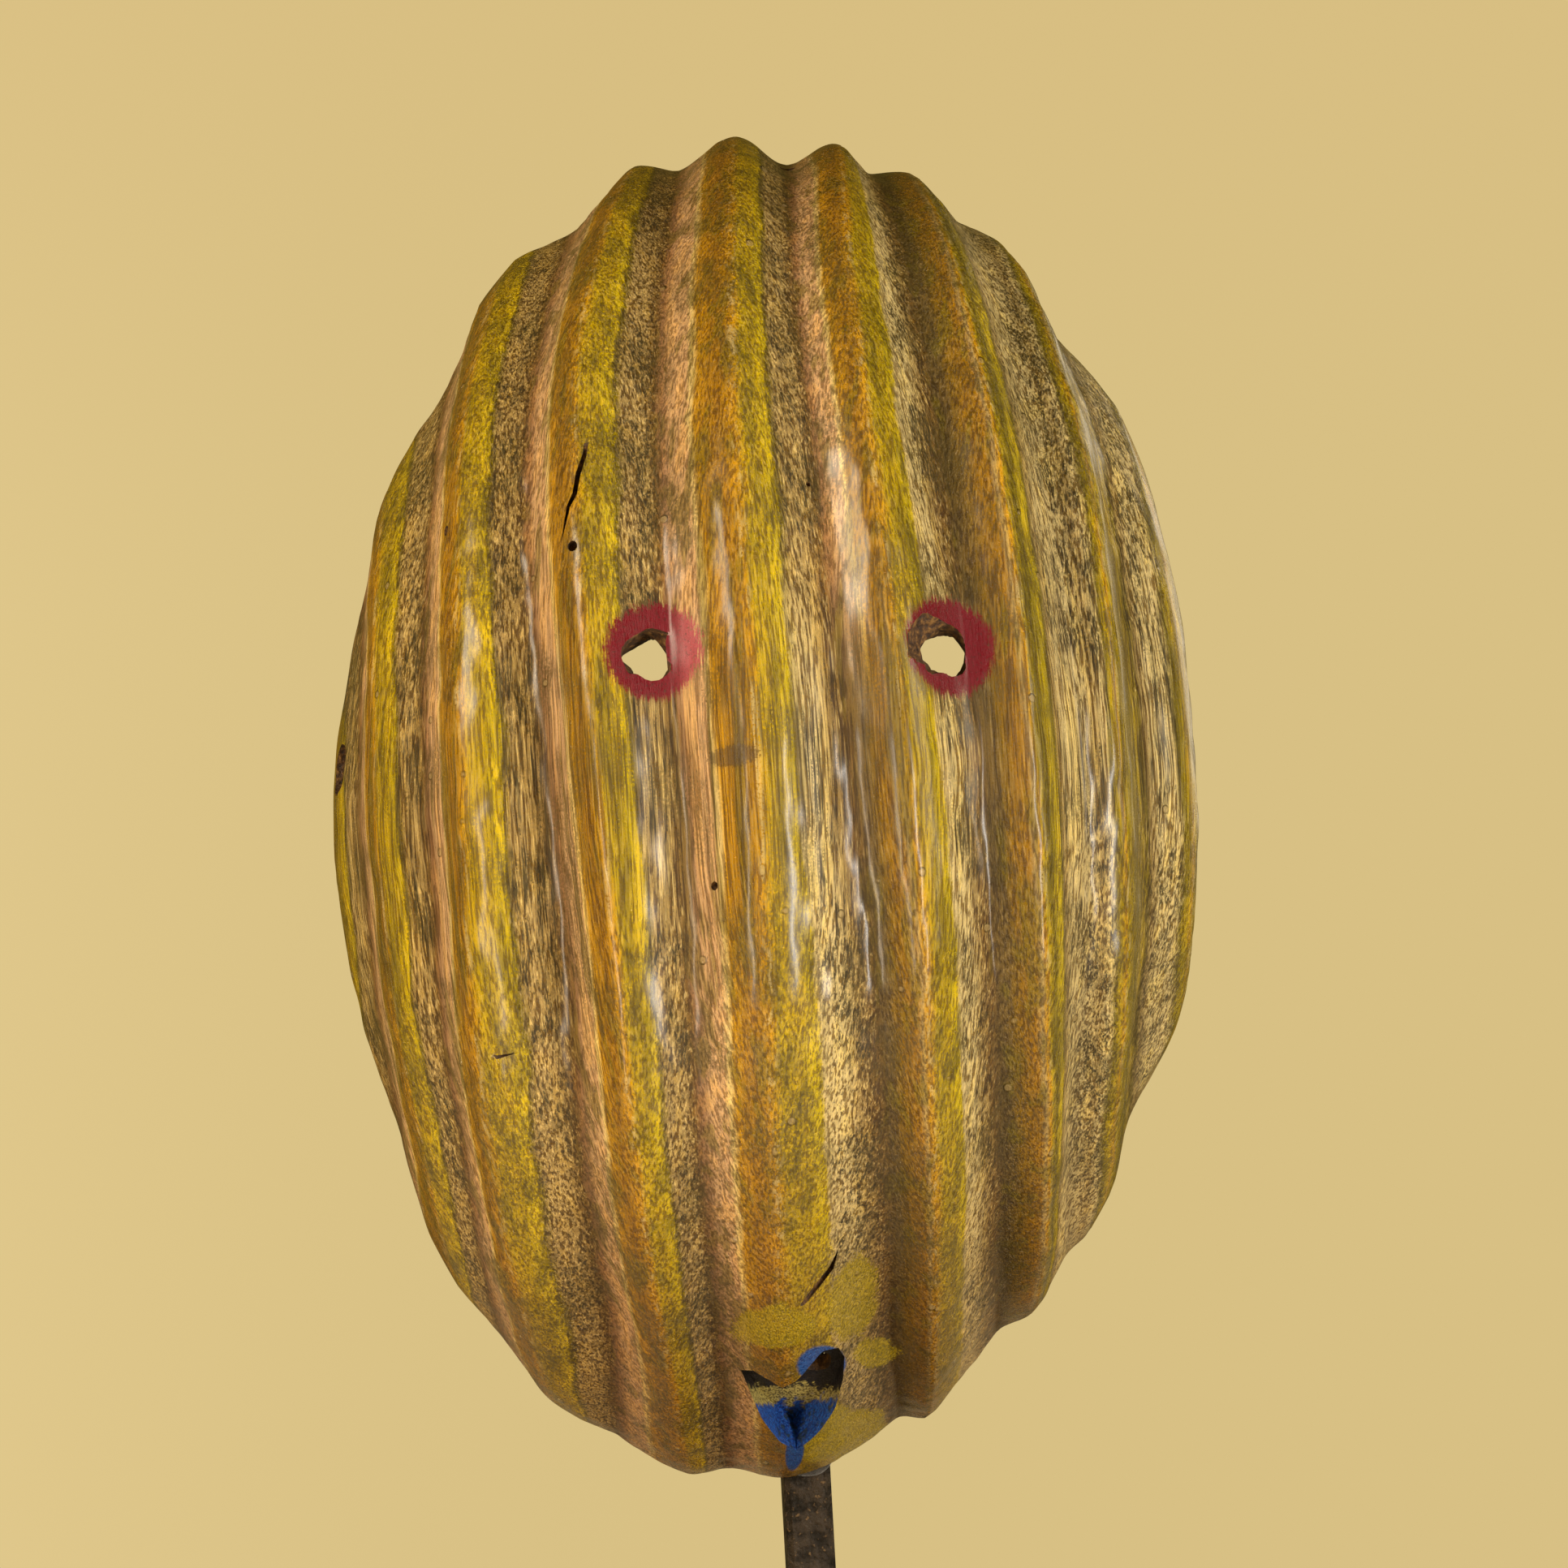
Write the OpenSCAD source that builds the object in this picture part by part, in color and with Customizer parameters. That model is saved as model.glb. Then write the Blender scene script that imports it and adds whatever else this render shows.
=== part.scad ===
// Fluted face mask of carved wood on a blackened steel display stand.
// The mask hangs on a rod fork at the top of a square post, the post turns in a socket on the
// base block, and a thumb screw with a swivelling tip locks it.
// The frame: millimetres, +Z up, the mask faces -Y, and the origin is under the post on the table.

/* [Mask] */
// Greatest width over the ribs
mask_w = 177; // [168:1:184]
// From the widest level up to the crown
crown_h = 140; // [132:1:146]
// From the widest level down to the chin
chin_h = 132; // [126:1:138]
// Depth from the flat rim to the front of the ribs
mask_d = 85; // [78:1:92]
// Wood between the rib crests and the hollow
wall = 12; // [11:0.5:14]
// Depth of the flutes between the ribs
flute_d = 5; // [3:0.5:6]
// How far the mask leans back on its stand
lean = 7; // [5:0.5:8]

/* [Eyes and mouth] */
// Radius of the hole through each eye
eye_r = 6; // [5:0.5:7]
// Radius of the funnel cut round each eye
eye_funnel_r = 9; // [8:0.5:10]
// Width of the heart-shaped mouth
mouth_w = 19; // [17:0.5:21]

/* [Strap holes] */
// Radius of the hole at each temple
temple_hole_r = 5; // [4:0.25:5.5]
// Radius of the hole in the crown
crown_hole_r = 1.8; // [1.5:0.1:2.2]

/* [Stand] */
// Across the flats of the square post
post_w = 9.5; // [8:0.5:11]
// Free length of post between the socket and the chin
post_show = 76; // [60:1:100]
// Side of the square base block
base_w = 130; // [120:1:160]
// Thickness of the base block
base_h = 28; // [26:1:34]
// Diameter of the fork rod
fork_d = 5; // [4.5:0.5:5.5]

/* [Detail] */
// Points round each ring of the mask
ring_points = 96; // [72:8:120]
// Rings from the front of the mask to its rim
front_rings = 24; // [16:1:28]

/* [Hidden] */
$fn = 64;
eps = 0.01;

// Mask: the widest level lies a little below the middle, and the chin drifts to one side.
wide_z = -8;
half_w = mask_w / 2;
chin_drift = -11;
crown_drift = 0.03;
hollow_rings = 8;
// Rib crests where the mask is widest, from the left edge to the right.
rib_x = [-104, -90, -82, -66, -41, -11, 16.6, 43, 62.5, 78, 94];
// The ribs draw together towards two poles well above and below the mask.
rib_pole_up = 225;
rib_pole_down = 190;
rib_mid_z = -13;
// From a crest down to the valley on its right, as a part of one rib's width.
valley_at = 0.6;
left_eye = [-29, 17];
right_eye = [27, 14.5];
eye_tilt = 4;
mouth_at = [-7, -36, -126];
mouth_rise = 38;
mouth_tilt = 12;
temple_z = 6;
temple_inset = 8.5;
// The temple holes are drilled from a little in front, so they don't face each other.
temple_tilt = 8;
temple_drill = 44;
crown_hole_x = 7.5;
crown_hole_inset = 20;

// Stand: heights are measured up from the table.
felt_t = 2;
base_top = felt_t + base_h;
flange_r = 22;
flange_t = 4;
boss_r = 12;
boss_top = base_top + 20;
socket_floor = 12;
spigot_r = 4.5;
run_gap = 0.05;
washer_t = 1.5;
post_foot = boss_top + washer_t;
screw_circle_r = 17;
collar_r = 7.5;
collar_t = 4;
clamp_z = boss_top - 7.5;
clamp_r = 3;
clamp_tip_len = 2.8;
knob_r = 7;
pad_r = 6;
// The mask's own frame: the middle of its rim plane at the stand.
mask_x = 3.7;
mask_y = 7.8;
mask_z = post_foot + post_show + chin_h - wide_z;
rest_gap = 0.3;
// The facets of the hollow stand up to 0.4 mm inside its true curve.
tip_gap = 0.8;
post_top = mask_z + 77;
fork_z = post_top - 8;
fork_half = 15;
tip_r = 4;
tip_len = 12;
// Where each fork tip meets the roof of the hollow, as dome angles.
tip_tau = 74;
tip_spread = 24;

function raise(s, n) = sign(s) * pow(abs(s), n);
function unit(v) = v / norm(v);

// Middle of the mask at height z: it wanders towards one cheek, more so at the chin.
function mid_x(z) = -2.2 + (z > 0 ? crown_drift * z : chin_drift * pow(-z / crown_h, 1.4));

// Rim outline as a superellipse, and the dome that closes it, with a flatter slope at the chin.
function dome(tau, phi, w, up, down, depth) =
    let (
        s = sin(phi),
        dz = s > 0 ? up * s : down * raise(s, 1.12),
        z = wide_z + dz * sin(tau),
        fullness = 1 + 0.35 * pow(max(0, -s), 4)
    )
    [mid_x(z) + w * cos(phi) * sin(tau), -depth * pow(max(0, cos(tau)), fullness), z];

// Rib number at a point of the dome: whole numbers are crests.
function rib_spread(z) = sqrt(1 - pow((z - rib_mid_z) / (z > rib_mid_z ? rib_pole_up : rib_pole_down), 2));
function rib_phase(x, z) =
    lookup(x / rib_spread(z), [for (i = [0:len(rib_x) - 1]) [rib_x[i], i]]);
// Each flute falls slowly to the right of its crest and rises faster to the next one.
function lopsided(u) =
    u < valley_at ? 0.5 * u / valley_at : 0.5 + 0.5 * (u - valley_at) / (1 - valley_at);
function flute(x, z) =
    let (phase = rib_phase(x, z))
    flute_d * (0.5 - 0.5 * cos(360 * lopsided(phase - floor(phase))));

function dome_normal(p, inset = 0) =
    unit([
        (p[0] - mid_x(p[2])) / pow(half_w - inset, 2),
        p[1] / pow(mask_d - inset, 2),
        (p[2] - wide_z) / pow((p[2] > wide_z ? crown_h : chin_h) - inset, 2)
    ]);
function carved(tau, phi) =
    let (p = dome(tau, phi, half_w, crown_h, chin_h, mask_d))
    p - flute(p[0], p[2]) * dome_normal(p);
function hollow(tau, phi) =
    dome(tau, phi, half_w - wall, crown_h - wall, chin_h - wall, mask_d - wall);

// A point of the mask's frame as the stand holds it.
function held(p) = [
    mask_x + p[0],
    mask_y + p[1] * cos(lean) + p[2] * sin(lean),
    mask_z - p[1] * sin(lean) + p[2] * cos(lean)
];
// Centre of a fork tip's round end, just under the roof of the hollow.
function tip_seat(side) =
    let (roof = hollow(tip_tau, 90 - side * tip_spread))
    held(roof - (tip_r + tip_gap) * dome_normal(roof, wall));

// A closed skin from rings of points: a fan at each end and quads between.
module ring_skin(first, rings, last) {
    n = len(rings[0]);
    m = len(rings);
    points = concat([first], [for (r = rings) for (p = r) p], [last]);
    at = function (ring, k) 1 + ring * n + k % n;
    faces = concat(
        [for (k = [0:n - 1]) [0, at(0, k + 1), at(0, k)]],
        [for (r = [0:m - 2]) for (k = [0:n - 1]) each [
            [at(r, k), at(r, k + 1), at(r + 1, k + 1)],
            [at(r, k), at(r + 1, k + 1), at(r + 1, k)]
        ]],
        [for (k = [0:n - 1]) [1 + m * n, at(m - 1, k), at(m - 1, k + 1)]]
    );
    polyhedron(points, faces);
}

module in_mask_frame() {
    translate([mask_x, mask_y, mask_z]) rotate([-lean, 0, 0]) children();
}

module carved_shell() {
    step = 360 / ring_points;
    outer = [for (i = [1:front_rings]) [for (k = [0:ring_points - 1])
        carved(90 * i / front_rings, k * step)]];
    inner = [for (i = [hollow_rings:-1:1]) [for (k = [0:ring_points - 1])
        hollow(90 * i / hollow_rings, k * step)]];
    ring_skin(carved(0, 0), concat(outer, inner), hollow(0, 0));
}

// The holes run back and a little downwards, through a funnel cut round each.
module eye_cut(at) {
    reach = mask_d + 5;
    translate([at[0], -mask_d, at[1]]) rotate([-90 - eye_tilt, 0, 0]) translate([0, 0, -10]) {
        cylinder(r = eye_r, h = reach);
        cylinder(r1 = eye_funnel_r + 5, r2 = eye_r, h = 25);
    }
}

module heart(w) {
    lobe = w * 0.27;
    for (side = [-1, 1]) translate([side * (w / 2 - lobe), 0]) circle(lobe);
    polygon([[-w / 2 + lobe * 0.12, -lobe * 0.4], [0, -w * 0.72],
        [w / 2 - lobe * 0.12, -lobe * 0.4], [0, lobe * 0.4]]);
}

// The mouth slopes up into the hollow.
module mouth_cut() {
    translate(mouth_at) rotate([90 + mouth_rise, 0, 0]) rotate([0, 0, mouth_tilt])
        translate([0, mouth_w * 0.2, -24]) linear_extrude(48) heart(mouth_w);
}

module mask_shell() {
    color("goldenrod") in_mask_frame() difference() {
        carved_shell();
        eye_cut(left_eye);
        eye_cut(right_eye);
        mouth_cut();
        for (side = [-1, 1])
            translate([mid_x(temple_z) + side * (half_w - wall / 2), -temple_inset, temple_z])
            rotate([0, 0, -side * temple_tilt]) rotate([0, 90, 0])
            cylinder(r = temple_hole_r, h = temple_drill, center = true);
        translate([crown_hole_x, -crown_hole_inset, crown_h / 2]) cylinder(r = crown_hole_r, h = crown_h);
    }
}

module base_felt() {
    color("darkslategray") translate([-base_w / 2 + 3, -base_w / 2 + 3, 0])
        cube([base_w - 6, base_w - 6, felt_t]);
}

module base_block() {
    c = 3;
    side = base_w / 2;
    color("saddlebrown") difference() {
        intersection() {
            translate([-side, -side, felt_t]) cube([base_w, base_w, base_h]);
            rotate([90, 0, 0]) linear_extrude(base_w, center = true) chamfered_end(side, c);
            rotate([90, 0, 90]) linear_extrude(base_w, center = true) chamfered_end(side, c);
        }
        translate([0, 0, socket_floor - 2]) cylinder(r = boss_r - 3 + run_gap, h = base_h + felt_t);
        at_flange_screws() translate([0, 0, base_top - 14]) cylinder(r = 1.5, h = 20);
    }
}

module chamfered_end(side, c) {
    polygon([[-side, 0], [side, 0], [side, base_top - c], [side - c, base_top],
        [-side + c, base_top], [-side, base_top - c]]);
}

module at_flange_screws() {
    for (a = [45, 135, 225, 315]) rotate([0, 0, a]) translate([screw_circle_r, 0, 0]) children();
}

module socket_flange() {
    color("dimgray") difference() {
        union() {
            translate([0, 0, socket_floor - 2]) cylinder(r = boss_r - 3, h = boss_top - socket_floor + 2);
            translate([0, 0, base_top]) cylinder(r = flange_r, h = flange_t);
            translate([0, 0, base_top]) cylinder(r = boss_r, h = boss_top - base_top);
        }
        translate([0, 0, socket_floor]) cylinder(r = spigot_r + run_gap, h = boss_top);
        translate([0, 0, clamp_z]) rotate([-90, 0, 0]) cylinder(r = clamp_r, h = boss_r + 1);
        at_flange_screws() {
            translate([0, 0, base_top - 1]) cylinder(r = 1.8, h = flange_t + 2);
            translate([0, 0, base_top + flange_t - 1.9]) cylinder(r1 = 1.8, r2 = 3.7, h = 1.9 + eps);
        }
    }
}

module flange_screws() {
    color("silver") at_flange_screws() difference() {
        union() {
            translate([0, 0, base_top + flange_t - 1.9]) cylinder(r1 = 1.7, r2 = 3.5, h = 1.8);
            translate([0, 0, base_top - 12]) cylinder(r = 1.45, h = 14.3);
        }
        translate([-4, -0.4, base_top + flange_t - 0.9]) cube([8, 0.8, 2]);
    }
}

module thrust_washer() {
    color("peru") difference() {
        translate([0, 0, boss_top]) cylinder(r = 8, h = washer_t);
        translate([0, 0, boss_top - 1]) cylinder(r = spigot_r + 0.1, h = washer_t + 2);
    }
}

module clamp_tip() {
    color("gold") translate([0, spigot_r + 0.1, clamp_z]) rotate([-90, 0, 0])
        cylinder(r = clamp_r - 0.1, h = clamp_tip_len);
}

module clamp_screw() {
    start = spigot_r + 0.15 + clamp_tip_len;
    head = boss_r + 3;
    color("dimgray") translate([0, 0, clamp_z]) rotate([-90, 0, 0]) difference() {
        union() {
            translate([0, 0, start]) cylinder(r = clamp_r - 0.1, h = head - start + 1);
            translate([0, 0, head]) cylinder(r = knob_r, h = 5);
        }
        for (a = [0:30:330]) rotate([0, 0, a]) translate([knob_r + 0.5, 0, head - 1])
            cylinder(r = 1.2, h = 7);
    }
}

module post() {
    w = post_w / 2;
    c = 1.2;
    color("dimgray") difference() {
        union() {
            translate([0, 0, post_foot]) linear_extrude(post_top - post_foot)
                polygon([[-w + c, -w], [w - c, -w], [w, -w + c], [w, w - c],
                    [w - c, w], [-w + c, w], [-w, w - c], [-w, -w + c]]);
            translate([0, 0, socket_floor + 1]) cylinder(r = spigot_r, h = post_foot - socket_floor);
            translate([0, 0, post_foot]) cylinder(r = collar_r, h = collar_t - 1);
            translate([0, 0, post_foot + collar_t - 1]) cylinder(r1 = collar_r, r2 = collar_r - 1, h = 1);
        }
        translate([-post_w, 0, fork_z]) rotate([0, 90, 0]) cylinder(d = fork_d + 0.1, h = 2 * post_w);
        translate([0, 0, fork_z]) cylinder(r = 2, h = post_top);
    }
}

module fork_screw() {
    start = fork_z + fork_d / 2 + 0.1;
    color("silver") difference() {
        translate([0, 0, start]) cylinder(r = 1.95, h = post_top - 0.5 - start);
        translate([0, 0, post_top - 2]) cylinder(r = 1, h = 3, $fn = 6);
    }
}

// Points +Z along one arm of the fork, from its bend.
module along_arm(side) {
    foot = [side * fork_half, 0, fork_z];
    dir = unit(tip_seat(side) - foot);
    translate(foot) rotate([0, acos(dir[2]), atan2(dir[1], dir[0])]) children();
}

function arm_len(side) = norm(tip_seat(side) - [side * fork_half, 0, fork_z]);

module brow_fork() {
    color("dimgray") {
        translate([-fork_half, 0, fork_z]) rotate([0, 90, 0]) cylinder(d = fork_d, h = 2 * fork_half);
        for (side = [-1, 1]) along_arm(side) {
            sphere(d = fork_d + 0.8);
            cylinder(d = fork_d, h = arm_len(side));
        }
    }
}

module brow_tip(side) {
    round_steps = 8;
    color("black") along_arm(side) translate([0, 0, arm_len(side) + tip_r - tip_len]) difference() {
        rotate_extrude() polygon(concat(
            [[0, 0], [tip_r, 0]],
            [for (k = [0:round_steps]) [tip_r * cos(90 * k / round_steps),
                tip_len - tip_r + tip_r * sin(90 * k / round_steps)]]
        ));
        translate([0, 0, -1]) cylinder(d = fork_d, h = tip_len - tip_r + 1);
    }
}

module brow_tip_left() {
    brow_tip(-1);
}

module brow_tip_right() {
    brow_tip(1);
}

// The pad fills the wedge between the post and the leaning rim.
module chin_pad() {
    rim_side = 60;
    color("darkslategray") difference() {
        translate([0, -post_w / 2, mask_z + wide_z - chin_h + 7]) rotate([90, 0, 0])
            cylinder(r = pad_r, h = 8);
        in_mask_frame() translate([-rim_side / 2, -rim_side + rest_gap, wide_z - chin_h - rim_side / 2])
            cube(rim_side);
    }
}

base_felt();
base_block();
socket_flange();
flange_screws();
thrust_washer();
clamp_tip();
clamp_screw();
post();
fork_screw();
brow_fork();
brow_tip_left();
brow_tip_right();
chin_pad();
mask_shell();
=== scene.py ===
# %% [markdown]
# # A carved and painted mask on its stand
# The object is a hollow oval mask of light wood with tall flutes, painted in stripes of yellow,
# olive, cream, pink and brown, and it rests on the fork of a forged post. This lesson starts from
# the frame that the CAD model gives, carves the mask again with its fine shapes, and then gives
# every piece its finish.

# %% Load the frame
from math import cos, pi, radians, sin
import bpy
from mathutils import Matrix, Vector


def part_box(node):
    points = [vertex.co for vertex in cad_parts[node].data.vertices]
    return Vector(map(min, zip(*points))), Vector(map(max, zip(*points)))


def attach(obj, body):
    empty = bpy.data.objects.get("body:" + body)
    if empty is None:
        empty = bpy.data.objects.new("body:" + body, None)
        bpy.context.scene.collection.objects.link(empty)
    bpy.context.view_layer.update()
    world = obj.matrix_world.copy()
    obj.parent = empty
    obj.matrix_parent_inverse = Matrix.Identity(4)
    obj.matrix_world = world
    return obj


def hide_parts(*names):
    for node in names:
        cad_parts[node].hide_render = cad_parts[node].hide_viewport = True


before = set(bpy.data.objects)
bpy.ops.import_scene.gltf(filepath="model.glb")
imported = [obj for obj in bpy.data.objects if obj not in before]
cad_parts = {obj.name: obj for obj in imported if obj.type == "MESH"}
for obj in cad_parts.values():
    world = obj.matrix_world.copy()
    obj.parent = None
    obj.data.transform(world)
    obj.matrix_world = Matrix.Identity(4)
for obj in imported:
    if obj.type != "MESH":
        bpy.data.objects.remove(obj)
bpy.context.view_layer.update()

from types import SimpleNamespace

import bpy
import numpy as np
from mathutils import Matrix, Vector, noise

# %% [markdown]
# ## The view
# A long lens from more than a metre away keeps the mask's outline nearly without perspective. The
# camera stands level with the middle of the mask, a little to its right cheek, and is tipped
# slightly on its own axis, so the post leans to the right at the bottom.

# %% Camera
TARGET = Vector((0.00345, 0.0, 0.2667))
DISTANCE = 1.15
AZIMUTH = radians(-5)
ROLL = radians(-3.2)
LENS = 131.4
SENSOR = 36

camera = bpy.data.objects.new("camera", bpy.data.cameras.new("camera"))
bpy.context.collection.objects.link(camera)
camera.data.lens = LENS
camera.data.sensor_width = SENSOR
away = Vector((sin(AZIMUTH), -cos(AZIMUTH), 0))
facing = (-away).to_track_quat("-Z", "Y").to_matrix().to_4x4()
camera.matrix_world = (
    Matrix.Translation(TARGET + DISTANCE * away) @ facing @ Matrix.Rotation(ROLL, 4, "Z")
)
bpy.context.scene.camera = camera
bpy.context.scene.view_settings.view_transform = "Standard"
print("camera at", [round(v, 3) for v in camera.location])

# %% [markdown]
# ## Node sums in plain Python
# A pattern is a formula, and a formula is easiest to read as Python. `Value` wraps one socket, and
# each sum on it adds one Math node. `Mixer` owns a node tree and adds any other node by its type,
# its settings and the values of its sockets.

# %% A socket that takes part in sums
class Value:
    def __init__(self, mixer, socket):
        self.mixer = mixer
        self.socket = socket

    def sum(self, operation, *others):
        return self.mixer.node("ShaderNodeMath", {"operation": operation}, self, *others)

    def __add__(self, other):
        return self.sum("ADD", other)

    def __mul__(self, other):
        return self.sum("MULTIPLY", other)

    def __sub__(self, other):
        return self.sum("SUBTRACT", other)

    def rise(self, start, end, low=0.0, high=1.0):
        """A soft step from low, at start, to high, at end."""
        settings = {"interpolation_type": "SMOOTHSTEP"}
        return self.mixer.node("ShaderNodeMapRange", settings, self, start, end, low, high)


# %% A tree that adds nodes
class Mixer:
    def __init__(self, tree):
        self.tree = tree
        tree.nodes.clear()

    def node(self, kind, settings=None, *values, out=0, **named):
        made = self.tree.nodes.new(kind)
        for key, setting in (settings or {}).items():
            if key == "stops":
                self.set_stops(made.color_ramp, setting)
            else:
                setattr(made, key, setting)
        for key, value in [*enumerate(values), *named.items()]:
            socket = made.inputs[key.replace("_", " ") if isinstance(key, str) else key]
            if isinstance(value, Value):
                self.tree.links.new(value.socket, socket)
            else:
                socket.default_value = value
        return Value(self, made.outputs[out]) if made.outputs else made

    def set_stops(self, ramp, stops):
        while len(ramp.elements) < len(stops):
            ramp.elements.new(0.5)
        for element, (place, colour) in zip(ramp.elements, stops):
            element.position = place
            element.color = colour

    def parts(self, vector):
        split = self.node("ShaderNodeSeparateXYZ", None, vector)
        return [Value(self, output) for output in split.socket.node.outputs]

    def speckle(self, vector, scale, detail=3.0, roughness=0.5):
        """Soft noise from 0 to 1 with most of it near one half."""
        sockets = {"Scale": scale, "Detail": detail, "Roughness": roughness}
        return self.node("ShaderNodeTexNoise", None, Vector=vector, **sockets)

    def blend(self, factor, under, over, how="MIX"):
        mix = self.tree.nodes.new("ShaderNodeMix")
        mix.data_type = "RGBA"
        mix.blend_type = how
        for index, value in ((0, factor), (6, under), (7, over)):
            if isinstance(value, Value):
                self.tree.links.new(value.socket, mix.inputs[index])
            else:
                mix.inputs[index].default_value = value
        return Value(self, mix.outputs[2])

    def bump(self, height, strength, distance):
        sockets = {"Strength": strength, "Distance": distance, "Height": height}
        return self.node("ShaderNodeBump", None, **sockets)


# %% Colours and a material's last node
def srgb(red, green, blue):
    """A colour as paint charts write it, 0 to 255, in the linear light that shaders use."""
    channels = [value / 255 for value in (red, green, blue)]
    light = [v / 12.92 if v <= 0.04045 else ((v + 0.055) / 1.055) ** 2.4 for v in channels]
    return (*light, 1.0)


def finish_of(name, recipe, **constants):
    """A new material. recipe(mixer) returns what varies; constants go straight on the sockets."""
    material = bpy.data.materials.new(name)
    material.use_nodes = True
    mixer = Mixer(material.node_tree)
    surface = mixer.node("ShaderNodeBsdfPrincipled", None, **recipe(mixer), **constants)
    mixer.node("ShaderNodeOutputMaterial", None, Surface=surface)
    print("finish:", name, len(mixer.tree.nodes), "nodes")
    return material


# %% [markdown]
# ## The shape of the mask
# Everything about the mask is written in its own frame, in millimetres: x to the viewer's right, y
# back from the front, z up, with y = 0 on the flat rim. The stand holds that frame leaning back by
# seven degrees. The body is a dome over an oval rim that narrows towards the chin and drifts to
# one side there.

# %% The mask's own frame
MILLIMETRE = 0.001
LEAN = radians(7)
MASK_MIDDLE = Vector((0.0037, 0.0078, 0.2675))
MASK_TURN = Matrix.Rotation(-LEAN, 4, "X")
MASK_PLACE = Matrix.Translation(MASK_MIDDLE) @ MASK_TURN @ Matrix.Scale(MILLIMETRE, 4)

HALF_WIDTH = 88.5
CROWN = 140.0
CHIN = 132.0
DEPTH = 85.0
WIDEST = -8.0
WALL = 12.0


def middle(z):
    """The mask's middle line: it leans to one cheek, and more so at the chin."""
    return -2.2 + np.where(z > 0, 0.03 * z, -11 * (np.maximum(-z, 0) / 140) ** 1.4)


def dome(tau, phi, inset=0.0):
    """Points of the plain body: tau is 0 at the front and a quarter turn at the rim."""
    side = np.sin(phi)
    rise = np.where(side > 0, (CROWN - inset) * side, -(CHIN - inset) * np.abs(side) ** 1.12)
    z = WIDEST + rise * np.sin(tau)
    fullness = 1 + 0.35 * np.maximum(0, -side) ** 4
    y = -(DEPTH - inset) * np.maximum(0, np.cos(tau)) ** fullness
    return np.stack([middle(z) + (HALF_WIDTH - inset) * np.cos(phi) * np.sin(tau), y, z], 1)


def outward(points, inset=0.0):
    """Unit normals of the body, taken as those of an ellipsoid."""
    x, y, z = points.T
    tall = np.where(z > WIDEST, CROWN, CHIN) - inset
    across = (x - middle(z)) / (HALF_WIDTH - inset) ** 2
    normals = np.stack([across, y / (DEPTH - inset) ** 2, (z - WIDEST) / tall**2], 1)
    return normals / np.linalg.norm(normals, axis=1, keepdims=True)


# %% [markdown]
# ## The ribs
# A carver draws the lines first: a crest, a valley, a crest and so on across the face. Each line is
# given by its x at five heights, from the crown to the chin, and a curve of the fourth degree
# passes through all five. The valleys aren't halfway between the crests, and the lines draw
# together at both ends, so five listed points for each line are simpler than any formula.

# %% Crest and valley lines
LINE_HEIGHTS = (125, 75, 0, -75, -125)
RIB_LINES = (
    (-80, -98, -104, -100, -88), (-73, -90, -97, -93, -80),
    (-66, -83, -91, -87, -73), (-61, -78, -87, -82, -68),
    (-55, -74, -83, -77, -63), (-47, -68, -75.5, -72, -58),
    (-40, -60, -67, -65, -53), (-34, -51.5, -54, -50.5, -44),
    (-23, -39.5, -42, -38, -31), (-16, -26.5, -28, -27, -23),
    (-3.5, -10, -12, -12, -9), (8, 4.5, 7, 11.5, 15.5),
    (18.5, 14.5, 16.5, 18.5, 20.5), (26, 31.5, 34, 36.5, 38.5),
    (33, 39, 42, 43, 43.5), (40, 51, 55, 53, 49),
    (45, 57.5, 61, 59, 52), (52, 65, 70, 67, 57),
    (57, 72, 78, 74, 62), (62, 79, 85, 81, 67),
    (68, 86, 92, 88, 73), (76, 96, 102, 98, 82),
)
LAST_RIB = len(RIB_LINES) / 2
NARROWEST = 1.5
FLUTE = 6.3
FULL_RIB = 25.0


def rib_places(x, z):
    """The rib number at each point and that rib's width. Crests are whole, valleys are halves."""
    curves = [np.polyval(np.polyfit(LINE_HEIGHTS, line, 4), z) for line in RIB_LINES]
    for before, after in zip(range(len(curves)), range(1, len(curves))):
        curves[after] = np.maximum(curves[after], curves[before] + NARROWEST)
    lines = np.array(curves)
    under = np.clip((lines <= x).sum(0) - 1, 0, len(lines) - 2)
    points = np.arange(len(x))
    start, end = lines[under, points], lines[under + 1, points]
    crest = under // 2 * 2
    width = lines[np.minimum(crest + 2, len(lines) - 1), points] - lines[crest, points]
    return (under + np.clip((x - start) / (end - start), 0, 1)) / 2, width


def flute_depth(phase, width):
    """Millimetres below the crests. A crest has a firm edge, and a narrow rib is shallower."""
    triangle = 1 - np.abs(2 * (phase % 1) - 1)
    fall = 0.3 * triangle + 0.7 * (0.5 - 0.5 * np.cos(pi * triangle))
    return FLUTE * np.clip(width / FULL_RIB, 0.3, 1.15) * fall


# %% [markdown]
# ## Working in edit mode
# The operators act on whatever is selected, so each step first clears the selection. These few
# helpers keep the cells short: they select pieces, name a new one, read and write its vertices all
# at once, make smooth noise and apply modifiers.

# %% Helpers for meshes
def clear_selection():
    if bpy.context.object and bpy.context.object.mode == "EDIT":
        bpy.ops.object.mode_set(mode="OBJECT")
    bpy.ops.object.select_all(action="DESELECT")


def take(*pieces):
    """Selects these pieces only, and makes the first one active."""
    clear_selection()
    for piece in pieces:
        piece.select_set(True)
    bpy.context.view_layer.objects.active = pieces[0]


def named(name):
    piece = bpy.context.object
    piece.name = piece.data.name = name
    return piece


def places_of(piece):
    flat = np.empty(len(piece.data.vertices) * 3)
    piece.data.vertices.foreach_get("co", flat)
    return flat.reshape(-1, 3)


def move_to(piece, places):
    piece.data.vertices.foreach_set("co", np.ascontiguousarray(places).ravel())
    piece.data.update()


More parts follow.
